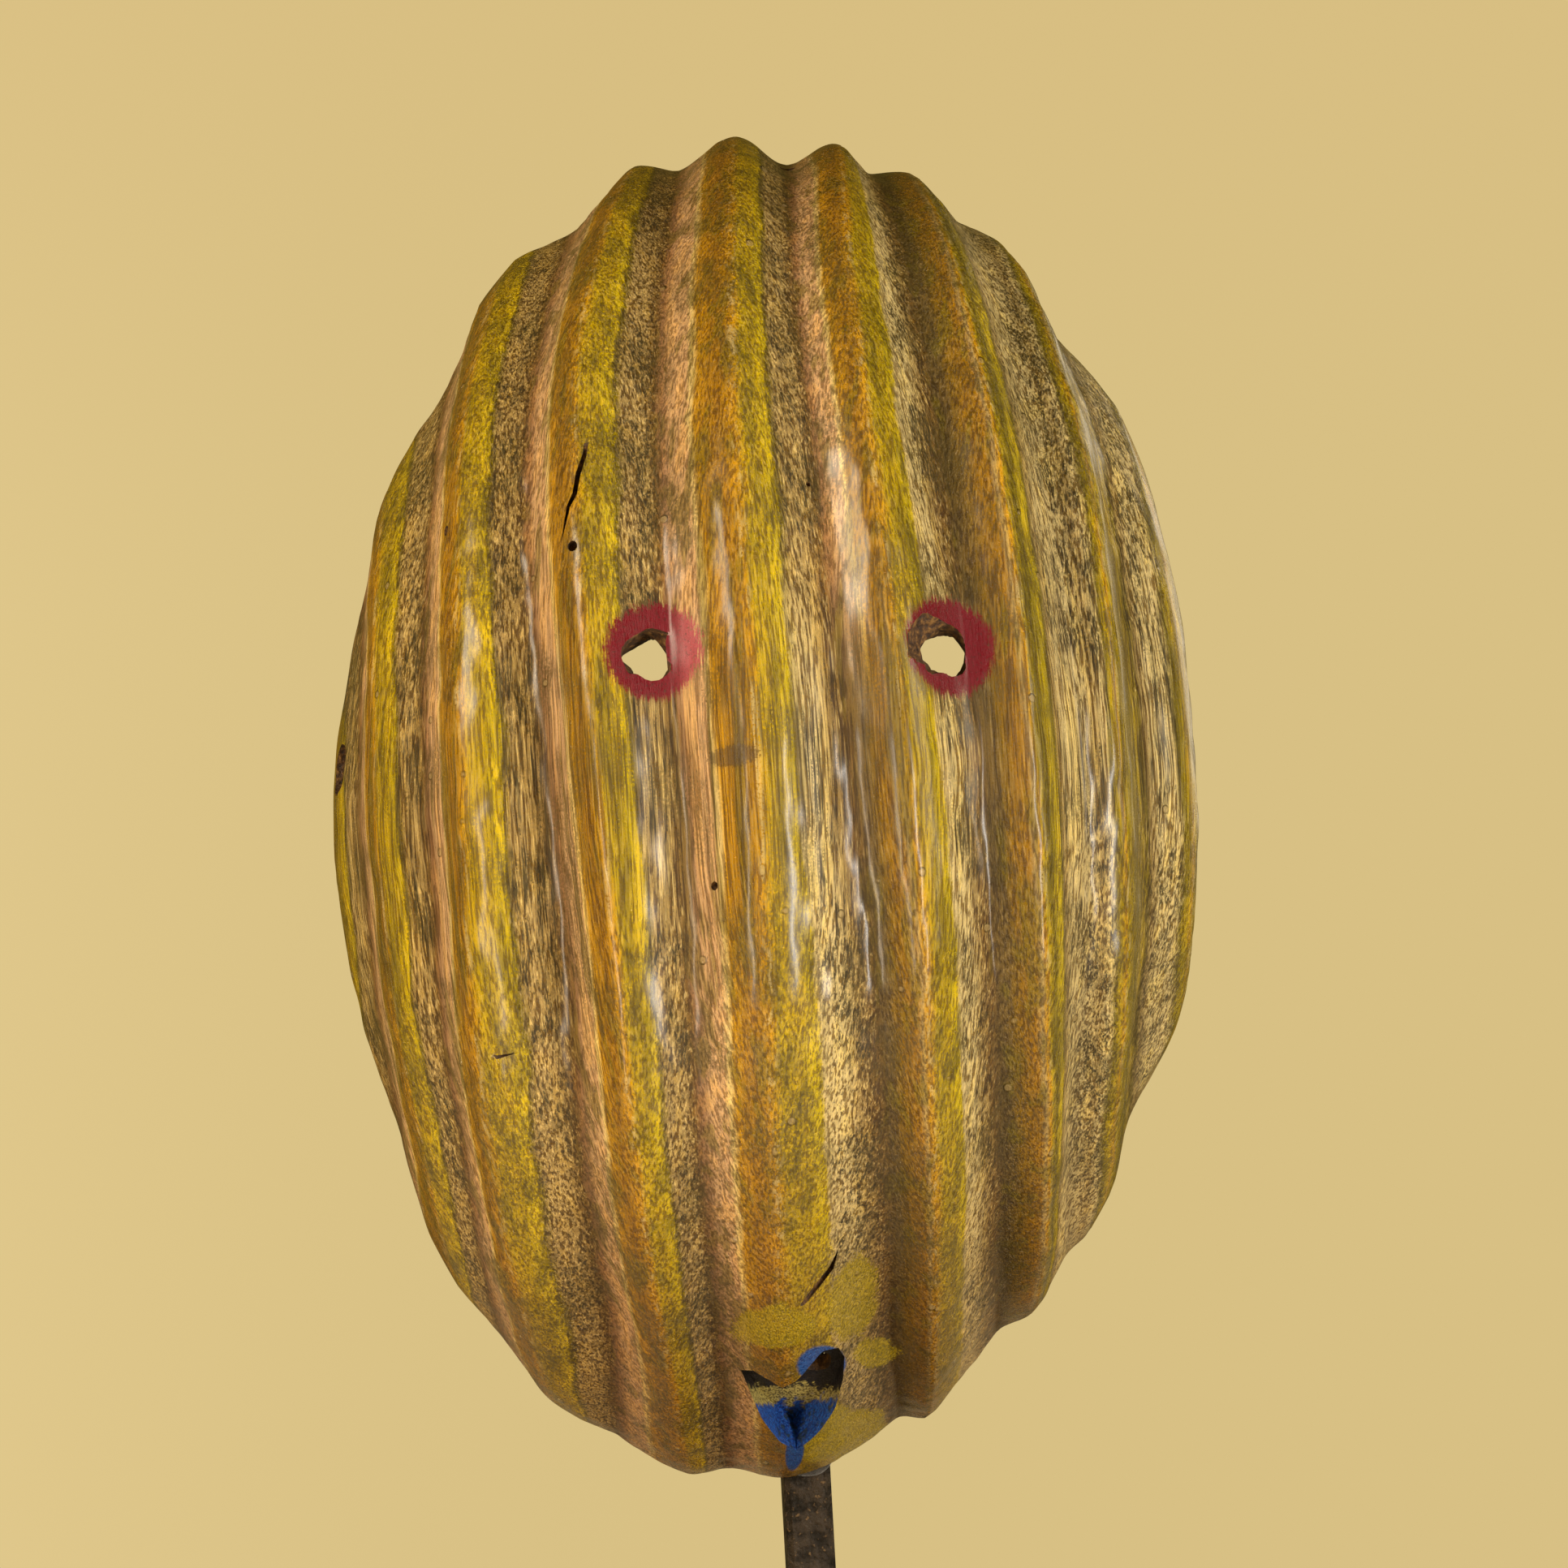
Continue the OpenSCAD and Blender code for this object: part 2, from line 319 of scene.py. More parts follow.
def lumps(points, size, seed):
    """Smooth noise from about -0.5 to 0.5, one number for each point."""
    shift = Vector((seed * 17.3, seed * 5.1, seed * 9.7))
    return np.array([noise.noise(Vector(point) / size + shift) for point in points])


def apply_modifiers(piece):
    take(piece)
    for modifier in list(piece.modifiers):
        bpy.ops.object.modifier_apply(modifier=modifier.name)


# %% [markdown]
# ## The two skins
# The mask is a shell with a carved outside and a plain hollow. Each skin starts as a flat grid,
# which has no pole, and the grid's square is drawn into a disc and then over the dome. A sphere
# would have been quicker, but its pole would sit in the middle of the face with all its thin
# triangles. The outside then sinks along its normals by the flutes, broad lumps and tool facets.

# %% From a square grid to the dome
def dome_angles(square):
    across, up = square[:, 0], square[:, 1]
    disc_x = across * np.sqrt(1 - up**2 / 2)
    disc_z = up * np.sqrt(1 - across**2 / 2)
    return np.hypot(disc_x, disc_z) * pi / 2, np.arctan2(disc_z, disc_x)


def skin_grid(name, across, up):
    clear_selection()
    bpy.ops.mesh.primitive_grid_add(x_subdivisions=across, y_subdivisions=up, size=2)
    skin = named(name)
    return skin, *dome_angles(places_of(skin))


# %% The carved outside
OUTSIDE_CELLS = (232, 282)
HOLLOW_CELLS = (104, 126)

outside, tau, phi = skin_grid("mask_carving", *OUTSIDE_CELLS)
body = dome(tau, phi)
phase, width = rib_places(body[:, 0], body[:, 2])
at_chin = np.clip((-60 - body[:, 2]) / 40, 0, 1) * np.clip((tau - 1.1) / 0.45, 0, 1)
sunk = flute_depth(phase, width) * (1 + 0.35 * lumps(body, 60, 1)) * (1 - 0.55 * at_chin)
sunk += 0.9 * lumps(body, 34, 2) + 0.45 * lumps(body * (1, 1, 0.6), 7, 3)
on_rim = tau > pi / 2 - 0.001
sunk += np.where(on_rim, 0.0, 0.25 * lumps(body * (1, 1, 0.35), 2.6, 4))
move_to(outside, body - np.maximum(sunk, 0)[:, None] * outward(body))

# %% The hollow inside
hollow, tau, phi = skin_grid("mask_hollow", *HOLLOW_CELLS)
inner = dome(tau, phi, WALL)
gouged = 0.35 + 0.7 * lumps(inner * (1, 1, 0.45), 9, 5)
move_to(hollow, inner + np.maximum(gouged, 0)[:, None] * outward(inner, WALL))
take(hollow)
bpy.ops.object.mode_set(mode="EDIT")
bpy.ops.mesh.select_all(action="SELECT")
bpy.ops.mesh.flip_normals()
bpy.ops.object.mode_set(mode="OBJECT")
print("skins:", len(outside.data.vertices), "and", len(hollow.data.vertices), "points")

# %% [markdown]
# ## Paint needs to know the rib
# The painter followed the ribs, so the paint has to know where it is between two crests. That can't
# be read from x alone, because the ribs curve. A UV map can hold any two numbers, and it lives
# through the cuts that come later, so it stores the place between the ribs and the height.

# %% A UV map of ribs and heights
MAP_FOOT = 150
MAP_HEIGHT = 300


def store_ribs(piece, across, up):
    layer = piece.data.uv_layers.new(name="ribs")
    corners = np.empty(len(piece.data.loops), dtype=np.int32)
    piece.data.loops.foreach_get("vertex_index", corners)
    layer.data.foreach_set("uv", np.stack([across[corners], up[corners]], 1).ravel())


for leftover in (outside, hollow):
    for layer in list(leftover.data.uv_layers):
        leftover.data.uv_layers.remove(layer)
store_ribs(outside, phase / LAST_RIB, (body[:, 2] + MAP_FOOT) / MAP_HEIGHT)
store_ribs(hollow, inner[:, 0] * 0, (inner[:, 2] + MAP_FOOT) / MAP_HEIGHT)

# %% [markdown]
# ## Closing the rim
# The two skins join along the flat rim. Bridge Edge Loops does this in one step, even though the
# finer skin has more points on its edge.

# %% One closed shell
def wood_slots(piece, *materials):
    piece.data.materials.clear()
    for material in materials:
        piece.data.materials.append(material)


outer_faces = len(outside.data.polygons)
take(outside, hollow)
bpy.ops.object.join()
mask = named("mask_carved_shell")
bpy.ops.object.mode_set(mode="EDIT")
bpy.ops.mesh.select_all(action="DESELECT")
bpy.ops.mesh.select_mode(type="EDGE")
bpy.ops.mesh.select_non_manifold(extend=False)
bpy.ops.mesh.bridge_edge_loops()
bpy.ops.object.mode_set(mode="OBJECT")
mask.data.transform(MASK_PLACE)
print("shell:", len(mask.data.polygons), "faces")

# %% [markdown]
# ## Old stripes of paint
# Between two crests the painter laid bands: yellow on the crest and its right side, ending in a
# lemon line, then khaki or cream, then the valley, and gold up to the next crest. The bands hold
# painted light as well as paint: the lemon line and the butter line before the gold are painted
# highlights, the brown along the valley floor is painted shade, and the pink and gold on walls that
# face left are warmed as if by a lamp on the left. The valleys are pink on the left, brown in the
# middle and cream on the right, so there are four tables. Time has added dark streaks along the
# grain, olive grime, chips on the crests and a shiny, worn lacquer.

# %% Colours of the stripes
YELLOW = srgb(184, 156, 0)
OLIVE = srgb(122, 106, 4)
LEMON = srgb(204, 178, 6)
GOLD = srgb(190, 142, 2)
OCHRE = srgb(156, 112, 4)
CREAM = srgb(228, 204, 142)
KHAKI = srgb(178, 150, 92)
PINK = srgb(222, 178, 130)
ROSE = srgb(176, 130, 90)
UMBER = srgb(132, 98, 44)
BROWN = srgb(112, 90, 44)
SOOT = srgb(44, 36, 18)
BUTTER = srgb(240, 212, 140)
OLIVE_BROWN = srgb(128, 98, 12)
CRIMSON = srgb(122, 0, 28)
RING_HIGHLIGHT_PINK = srgb(196, 92, 100)
SPECK = srgb(66, 52, 6)
DARK_THREAD = srgb(140, 120, 74)
LIGHT_THREAD = (1.35, 1.32, 1.2, 1)
BRIGHT_STROKE = (1.3, 1.25, 0.9, 1)
GRIME = srgb(86, 72, 18)
VALLEY_SHADE = srgb(64, 42, 14)
END_SHADE = srgb(150, 110, 48)
SMUDGED = srgb(78, 62, 44)
LACQUER_DROP = srgb(170, 146, 96)
DEEP_BLUE = srgb(14, 52, 122)
SKY_BLUE = srgb(24, 84, 160)

# %% Tables of stripes
# LEMON and BUTTER lines in these tables are painted highlights, UMBER and BROWN in the valleys are
# painted shade, and PINK, GOLD and OCHRE on walls facing left are partly warm painted light.
LEFT_STRIPES = (
    (0.0, GOLD), (0.05, YELLOW), (0.14, YELLOW), (0.18, LEMON), (0.21, LEMON), (0.23, OLIVE),
    (0.27, KHAKI), (0.4, KHAKI), (0.47, UMBER), (0.53, ROSE), (0.59, PINK), (0.7, PINK),
    (0.73, BUTTER), (0.77, GOLD), (0.9, OCHRE), (1.0, GOLD),
)
MIDDLE_STRIPES = (
    (0.0, GOLD), (0.05, YELLOW), (0.13, YELLOW), (0.17, LEMON), (0.2, LEMON), (0.22, CREAM),
    (0.32, CREAM), (0.38, KHAKI), (0.46, UMBER), (0.54, BROWN), (0.64, BROWN),
    (0.7, OLIVE_BROWN), (0.88, OCHRE), (0.94, KHAKI), (0.97, GOLD), (1.0, GOLD),
)
RIGHT_STRIPES = (
    (0.0, YELLOW), (0.08, OLIVE), (0.15, LEMON), (0.19, LEMON), (0.21, OLIVE), (0.25, KHAKI),
    (0.34, CREAM), (0.56, CREAM), (0.72, KHAKI), (0.8, CREAM), (0.86, OLIVE), (0.92, YELLOW),
    (1.0, GOLD),
)
FAR_STRIPES = (
    (0.0, YELLOW), (0.2, OLIVE), (0.42, YELLOW), (0.5, OLIVE), (0.56, KHAKI), (0.64, CREAM),
    (0.8, CREAM), (0.87, OLIVE), (0.93, YELLOW), (1.0, GOLD),
)
MIDDLE_RIB = 5
RIGHT_RIB = 7
FAR_RIB = 8


# %% The mask's own coordinates in a material
def mask_places(mixer):
    """Object coordinates turned into the mask's frame, in millimetres."""
    coordinates = mixer.node("ShaderNodeTexCoord", None, out=3)
    return mixer.node(
        "ShaderNodeMapping", {"vector_type": "TEXTURE"}, coordinates,
        tuple(MASK_MIDDLE), (-LEAN, 0, 0), (MILLIMETRE,) * 3,
    )


def grain_noise(mixer, places, across, along, detail=3.0):
    """Noise drawn out along the grain: across and along are cycles in a millimetre."""
    stretched = mixer.node(
        "ShaderNodeVectorMath", {"operation": "MULTIPLY"}, places, (across, across, along)
    )
    return mixer.speckle(stretched, 1.0, detail)


def spot(x, z, at, size, wobble):
    """1 inside an oval round at = (x, z), fading over a ragged edge."""
    reach_x = (x - at[0]) * (1 / size[0])
    reach_z = (z - at[1]) * (1 / size[1])
    distance = (reach_x * reach_x + reach_z * reach_z).sum("SQRT") + wobble
    return distance.rise(1.08, 0.92)


# %% The noises that all the layers share
def paint_grain(mixer, places):
    return SimpleNamespace(
        streaks=grain_noise(mixer, places, 0.8, 0.03, 5.0),
        hairs=grain_noise(mixer, places, 3.2, 0.1, 3.0),
        threads=grain_noise(mixer, places, 2.0, 0.05, 3.0),
        strokes=grain_noise(mixer, places, 0.32, 0.014, 3.0),
        wander=grain_noise(mixer, places, 0.06, 0.03, 2.0),
        stipple=mixer.speckle(places, 1.9, 6.0, 0.7),
        patches=mixer.speckle(places, 0.07, 4.0),
    )


# %% The stripes
def past(drawn, rib):
    """1 on this rib and on every rib to its right."""
    return drawn.rise(rib - 0.02, rib + 0.02)


def striped(mixer, drawn, band, z):
    left, centre, right, far = (
        mixer.node("ShaderNodeValToRGB", {"stops": stops}, band)
        for stops in (LEFT_STRIPES, MIDDLE_STRIPES, RIGHT_STRIPES, FAR_STRIPES)
    )
    colour = mixer.blend(past(drawn, MIDDLE_RIB), left, centre)
    before_next = drawn.rise(MIDDLE_RIB + 1.02, MIDDLE_RIB + 0.98)
    pink_forehead = z.rise(0, 40) * past(drawn, MIDDLE_RIB) * before_next
    colour = mixer.blend(pink_forehead, colour, left)
    colour = mixer.blend(past(drawn, RIGHT_RIB), colour, right)
    return mixer.blend(past(drawn, FAR_RIB), colour, far)


def pale_bands(drawn, band):
    """1 on khaki and cream, where the dark streaks show most."""
    left = band.rise(0.21, 0.27) * band.rise(0.52, 0.44)
    right = band.rise(0.22, 0.28) * band.rise(0.9, 0.82) * past(drawn, RIGHT_RIB)
    return left.sum("MAXIMUM", right)


# %% [markdown]
# The brush left broad olive and bright strokes. Wear then bared fine pale hairs, soot and specks
# settled along the grain, and grime lies in patches. Each layer blends over the one before.

# %% Strokes, wear and soot
def brushed(mixer, colour, pale, grain):
    strokes, hairs = grain.strokes, grain.hairs
    colour = mixer.blend(strokes.rise(0.52, 0.62) * (pale * -0.5 + 0.6), colour, OLIVE)
    colour = mixer.blend(strokes.rise(0.47, 0.4) * 0.6, colour, BRIGHT_STROKE, "MULTIPLY")
    return mixer.blend(hairs.rise(0.54, 0.62) * (pale * 0.55 + 0.14), colour, BUTTER)


def soot_on(pale, grain):
    along = grain.streaks.rise(0.48, 0.56) * grain.hairs.rise(0.44, 0.54)
    return along * grain.patches.rise(0.34, 0.54) * (pale * 0.5 + 0.42)


def soiled(mixer, colour, pale, sooty, grain):
    threads, stipple = grain.threads, grain.stipple
    colour = mixer.blend(sooty, colour, SOOT)
    specks = grain.hairs.rise(0.46, 0.36) * stipple.rise(0.42, 0.58)
    colour = mixer.blend(specks * (pale * 0.2 + 0.65), colour, SPECK)
    dark_threads = threads.rise(0.5, 0.57) * (pale * 0.25 + 0.65)
    colour = mixer.blend(dark_threads, colour, DARK_THREAD, "MULTIPLY")
    colour = mixer.blend(threads.rise(0.47, 0.4) * 0.6, colour, LIGHT_THREAD, "MULTIPLY")
    grime = grain.patches.rise(0.44, 0.62) * stipple.rise(0.4, 0.56)
    return mixer.blend(grime * 0.5, colour, GRIME)


# %% Chips, and painted shade in the valleys and at the ends
def painted_valley_shade(deep, z):
    # Painted shade along the valley floors, stronger towards the chin.
    return (deep - 0.52).sum("ABSOLUTE").rise(0.16, 0.0) * z.rise(60, -70, 0.3, 0.7)


def shaded(mixer, colour, deep, y, z, valley_shade_mask, grain):
    crest = (deep - 0.5).sum("ABSOLUTE").rise(0.45, 0.5)
    chips = crest * grain.streaks.rise(0.52, 0.62) * grain.stipple.rise(0.4, 0.5)
    colour = mixer.blend(chips * 0.5, colour, BUTTER)
    colour = mixer.blend(valley_shade_mask * 0.5, colour, VALLEY_SHADE)
    # Painted shade: darker towards the chin, the rim and the crown, where the surface turns away
    # from the light.
    ends = z.rise(-60, -135, 0, 0.55).sum("MAXIMUM", y.rise(-14, -2, 0, 0.5))
    ends = ends.sum("MAXIMUM", z.rise(85, 128, 0, 0.3))
    return mixer.blend(ends, colour, END_SHADE, "MULTIPLY")


# %% [markdown]
# Some marks have a place of their own: a smudge beside the nose, yellow overpaint round the mouth,
# a crimson ring round each eye, and blue that ran over the lip of the mouth. The inner side of the
# left ring is lightened to pink as a painted highlight.

# %% Where the marks are
LEFT_EYE = (-29.5, 17.0)
RIGHT_EYE = (27.0, 14.5)
EYE_RING = (9.0, 9.4)
SMUDGE = ((-16, -5), (4.5, 2.0))
OVERPAINT = (
    ((-13, -111), (8, 3.5)), ((3, -106), (4.5, 9)), ((9, -117), (5.5, 3)), ((1, -131), (10, 5)),
)
BLUE_RIM = ((-2.8, -118.6), (5.2, 3.6))
BLUE_DRIP = ((-7.5, -135), (1.8, 3.5))


# %% Marks
def marked(mixer, colour, x, z, grain):
    hairs, stipple, patches = grain.hairs, grain.stipple, grain.patches
    smudge = spot(x, z, *SMUDGE, (stipple - 0.5) * 1.6)
    colour = mixer.blend(smudge * 0.6, colour, SMUDGED)
    for at, size in OVERPAINT:
        patch = spot(x, z, at, size, (patches - 0.5) * 1.8 + (stipple - 0.5) * 1.2) * 0.8
        colour = mixer.blend(patch, colour, mixer.blend(hairs.rise(0.4, 0.6), OLIVE, YELLOW))
    ragged = (stipple - 0.5) * 0.4 + (grain.wander - 0.5) * 0.3
    for at in (LEFT_EYE, RIGHT_EYE):
        ring = spot(x, z, at, EYE_RING, ragged + (hairs - 0.5) * 0.5)
        # A painted highlight: the inner side of the left ring is lightened to pink.
        ring_highlight = x.rise(-26, -22) * x.rise(-10, -12) * (1 if at is LEFT_EYE else 0)
        red = mixer.blend(ring_highlight * 0.85, CRIMSON, RING_HIGHLIGHT_PINK)
        colour = mixer.blend(ring, colour, mixer.blend(stipple.rise(0.52, 0.66, 0, 0.7), red, SOOT))
    blue_rim = spot(x, z, *BLUE_RIM, ragged * 0.6)
    blue_drip = spot(x, z, *BLUE_DRIP, ragged * 0.6)
    blue = mixer.blend(stipple.rise(0.4, 0.6), DEEP_BLUE, SKY_BLUE)
    return mixer.blend(blue_rim.sum("MAXIMUM", blue_drip), colour, blue)


# %% The whole coat of old paint, with its painted shade and highlights
def old_paint_and_light(mixer):
    places = mask_places(mixer)
    x, y, z = mixer.parts(places)
    grain = paint_grain(mixer, places)
    rib_map = mixer.node("ShaderNodeUVMap", {"uv_map": "ribs"})
    phase = mixer.parts(rib_map)[0] * LAST_RIB
    drawn = phase + (grain.streaks - 0.5) * 0.07 + (grain.wander - 0.5) * 0.1
    drawn = drawn + (grain.stipple - 0.5) * 0.04
    band, deep = drawn.sum("FRACT"), phase.sum("FRACT")
    pale = pale_bands(drawn, band)
    sooty = soot_on(pale, grain)
    valley_shade_mask = painted_valley_shade(deep, z)

    colour = striped(mixer, drawn, band, z)
    colour = brushed(mixer, colour, pale, grain)
    colour = soiled(mixer, colour, pale, sooty, grain)
    colour = shaded(mixer, colour, deep, y, z, valley_shade_mask, grain)
    colour = marked(mixer, colour, x, z, grain)
    blob = mixer.node("ShaderNodeTexVoronoi", None, Vector=places, Scale=0.1).rise(0.1, 0.06)

    roughness = grain.stipple.rise(0.35, 0.65, 0.2, 0.36) + sooty * 0.2 + valley_shade_mask * 0.2
    height = grain.hairs * 0.9 + grain.streaks * 0.8 + grain.stipple * 0.7 + blob * 1.5
    return {
        "Base_Color": mixer.blend(blob * 0.6, colour, LACQUER_DROP),
        "Roughness": roughness - blob * 0.12,
        "Coat_Weight": grain.patches.rise(0.3, 0.7, 0.3, 0.65),
        "Normal": mixer.bump(height, 1.0, 0.0005),
    }


painted = finish_of(
    "old_striped_paint_and_light", old_paint_and_light, Coat_Roughness=0.2, Coat_IOR=1.45, Specular_IOR_Level=0.35
)

# %% [markdown]
# ## The bare wood inside
# The hollow was never painted. It is brown with age and handling, with soft growth lines along the
# block and darker patches where breath and skin touched it.

# %% Bare wood
GROWTH_LINES = (
    (0.3, srgb(84, 56, 32)), (0.48, srgb(128, 90, 54)),
    (0.62, srgb(150, 110, 68)), (0.75, srgb(96, 66, 38)),
)


def bare_wood(mixer):
    places = mask_places(mixer)
    lines = grain_noise(mixer, places, 0.45, 0.02, 4.0)
    fibres = grain_noise(mixer, places, 3.0, 0.12, 3.0)
    blot = mixer.speckle(places, 0.03, 3.0)
    colour = mixer.node("ShaderNodeValToRGB", {"stops": GROWTH_LINES}, lines)
    colour = mixer.blend(fibres.rise(0.5, 0.72, 0, 0.55), colour, srgb(52, 34, 20))
    colour = mixer.blend(blot.rise(0.45, 0.65, 0, 0.6), colour, srgb(62, 42, 26))
    return {
        "Base_Color": colour,
        "Roughness": fibres.rise(0.3, 0.7, 0.55, 0.8),
        "Normal": mixer.bump(fibres + lines * 0.8, 0.5, 0.0008),
    }


bare = finish_of("bare_aged_wood", bare_wood)

# %% [markdown]
# The holes were cut after the painting and show rough brown wood. The mouth was painted blue, and
# the blue has worn off along its upper edge. Above that, its far end is painted nearly black as
# painted shadow.

# %% Rough cuts
CUT_CRUMBS = ((0.32, srgb(30, 20, 12)), (0.5, srgb(82, 54, 28)), (0.66, srgb(140, 102, 52)))


def cut_wood(mixer):
    places = mask_places(mixer)
    crumbs = mixer.speckle(places, 0.9, 5.0, 0.6)
    return {
        "Base_Color": mixer.node("ShaderNodeValToRGB", {"stops": CUT_CRUMBS}, crumbs),
        "Roughness": crumbs.rise(0.3, 0.7, 0.5, 0.85),
        "Normal": mixer.bump(crumbs, 0.7, 0.0012),
    }


rough_cut = finish_of("rough_cut_wood", cut_wood)


# %% Blue in the mouth, and its painted shadow
def mouth_paint_and_shadow(mixer):
    places = mask_places(mixer)
    x, _, z = mixer.parts(places)
    crumbs = mixer.speckle(places, 0.55, 5.0, 0.6)
    fine = mixer.speckle(places, 2.2, 4.0, 0.6)
    worn_edge = (z + (crumbs - 0.5) * 9).rise(-126.0, -124.6)
    blue = mixer.blend(fine.rise(0.42, 0.6), srgb(10, 44, 122), srgb(30, 98, 190))
    colour = mixer.blend(crumbs.rise(0.56, 0.6) * 0.85, blue, srgb(31, 48, 52))
    bared = mixer.blend(fine.rise(0.45, 0.6), srgb(186, 168, 92), srgb(92, 78, 36))
    colour = mixer.blend(worn_edge, colour, bared)
    # Painted shadow: the far end of the pocket is painted nearly black.
    painted_gap_shadow = (z + (crumbs - 0.5) * 7 + x.rise(-4, -1) * 1.5).rise(-122.4, -121.6)
    colour = mixer.blend(painted_gap_shadow, colour, srgb(26, 18, 10))
    return {
        "Base_Color": colour,
        "Roughness": fine.rise(0.3, 0.7, 0.3, 0.6),
        "Normal": mixer.bump(crumbs * 2 + fine, 0.6, 0.0008),
    }


mouth_finish = finish_of("worn_blue_paint_and_shadow", mouth_paint_and_shadow)

# %% [markdown]
# ## Which face gets which finish
# The first faces of the joined mesh are the carved outside, then the hollow, and the bridge's faces
# come last. Face material numbers survive the Boolean cuts, and each cutter brings its own finish.

# %% Finishes on the shell
wood_slots(mask, painted, bare)
slots = np.ones(len(mask.data.polygons), dtype=np.int32)
slots[:outer_faces] = 0
mask.data.polygons.foreach_set("material_index", slots)

# %% [markdown]
# ## Cutting the holes
# A knife leaves ragged edges, so the cutters are ragged too. A round cutter is a circle that is
# extruded ring by ring and then shaken a little; a flat one is an outline that is extruded once.
# They all go through one Boolean, which costs no more than a single hole does.


# %% Round cutters
def round_cutter(name, start, end, radii, finish, shake=0.0, sides=28):
    """A rod of rings with these radii from start to end, in the mask's frame."""
    clear_selection()
    length = (Vector(end) - Vector(start)).length
    bpy.ops.mesh.primitive_circle_add(vertices=sides, radius=radii[0], fill_type="NGON")
    cutter = named(name)
    bpy.ops.object.mode_set(mode="EDIT")
    bpy.ops.mesh.select_all(action="SELECT")
    step = length / (len(radii) - 1)
    for before, after in zip(radii, radii[1:]):
        bpy.ops.mesh.extrude_region_move(TRANSFORM_OT_translate={"value": (0, 0, step)})
        grow = after / before
        bpy.ops.transform.resize(value=(grow, grow, 1), center_override=(0, 0, 0))
    bpy.ops.mesh.select_all(action="SELECT")
    bpy.ops.mesh.normals_make_consistent(inside=False)
    bpy.ops.object.mode_set(mode="OBJECT")
    places = places_of(cutter)
    if shake:
        ragged = np.stack([lumps(places, 5, seed) for seed in (11, 12, 13)], 1)
        places = places + shake * ragged * (1, 1, 0)
    move_to(cutter, places)
    turn = (Vector(end) - Vector(start)).to_track_quat("Z", "Y").to_matrix().to_4x4()
    cutter.data.transform(MASK_PLACE @ Matrix.Translation(start) @ turn)
    wood_slots(cutter, finish)
    return cutter


# %% Flat cutters
def flat_cutter(name, outline, start, direction, length, finish):
    """An outline of (x, z) points, extruded along direction from start."""
    clear_selection()
    bpy.ops.mesh.primitive_circle_add(vertices=len(outline), radius=1, fill_type="NGON")
    cutter = named(name)
    forward = Vector(direction).normalized()
    across = Vector((1, 0, 0))
    up = across.cross(forward)
    corners = np.array([Vector(start) + x * across + z * up for x, z in outline])
    move_to(cutter, corners)
    bpy.ops.object.mode_set(mode="EDIT")
    bpy.ops.mesh.select_all(action="SELECT")
    bpy.ops.mesh.extrude_region_move(TRANSFORM_OT_translate={"value": forward * length})
    bpy.ops.mesh.select_all(action="SELECT")
    bpy.ops.mesh.normals_make_consistent(inside=False)
    bpy.ops.object.mode_set(mode="OBJECT")
    cutter.data.transform(MASK_PLACE)
    wood_slots(cutter, finish)
    return cutter


# %% [markdown]
# The eye holes run back and slightly down. Each is widest at the front and narrows to a ragged
# throat in the middle of the wall, a little to one side.

# %% Eye holes
EYE_RADII = (8.8, 8.4, 8.0, 7.4, 6.2, 5.0, 4.7, 4.9, 5.6, 6.2)
EYES = (("left", LEFT_EYE, (-1.0, -0.6)), ("right", RIGHT_EYE, (-0.6, -0.4)))

cutters = []
for side, (eye_x, eye_z), throat in EYES:
    front = (eye_x, -92, eye_z + 0.9)
    back = (eye_x + throat[0], -58, eye_z - 1.4 + throat[1])
    name = f"{side}_eye_cutter"
    cutters.append(round_cutter(name, front, back, EYE_RADII, rough_cut, shake=2.6))

# %% [markdown]
# The mouth is a heart-shaped pocket with one lobe higher than the other, cut square to the steep
# chin. Its floor is blue, its far end is painted nearly black as painted shadow, and a narrow
# breath channel leads up from that end to the hollow.

# %% The heart-shaped mouth
HEART = (
    (0.4, -16.6), (4.0, -12.5), (8.0, -6), (9.4, 1), (9.6, 6.5), (8.2, 10.6), (5.0, 11.8),
    (2.0, 9.6), (-0.6, 6.4), (-3.0, 5.0), (-5.6, 6.2), (-8.4, 6.4), (-10.6, 4.6), (-8.8, -0.5),
    (-6.6, -6.5), (-3.2, -12.5),
)
MOUTH = (-7.6, -30.1, -127.4)
MOUTH_RISE = radians(58)
MOUTH_RUN_UP = 20
MOUTH_LENGTH = 30
BREATH_ENDS = ((-3, -29, -124), (-3, -21, -104))
BREATH_RADII = (3.0, 3.2, 3.0)

mouth_in = (0, cos(MOUTH_RISE), sin(MOUTH_RISE))
mouth_at = Vector(MOUTH) - MOUTH_RUN_UP * Vector(mouth_in)
cutters.append(
    flat_cutter("mouth_cutter", HEART, mouth_at, mouth_in, MOUTH_LENGTH, mouth_finish)
)
cutters.append(
    round_cutter("breath_cutter", *BREATH_ENDS, BREATH_RADII, rough_cut, shake=1.0)
)

# %% [markdown]
# The strap holes at the temples are bored from a little in front, and one small hole goes down
# through the crown.

# %% Strap holes and the crown hole
TEMPLE_TILT = radians(8)
TEMPLE_OUT = 82.5
TEMPLE_HEIGHT = 6
TEMPLE_RADII = (4.9, 5, 5.1, 5.3)
CROWN_RADII = (1.7, 1.8, 1.9)

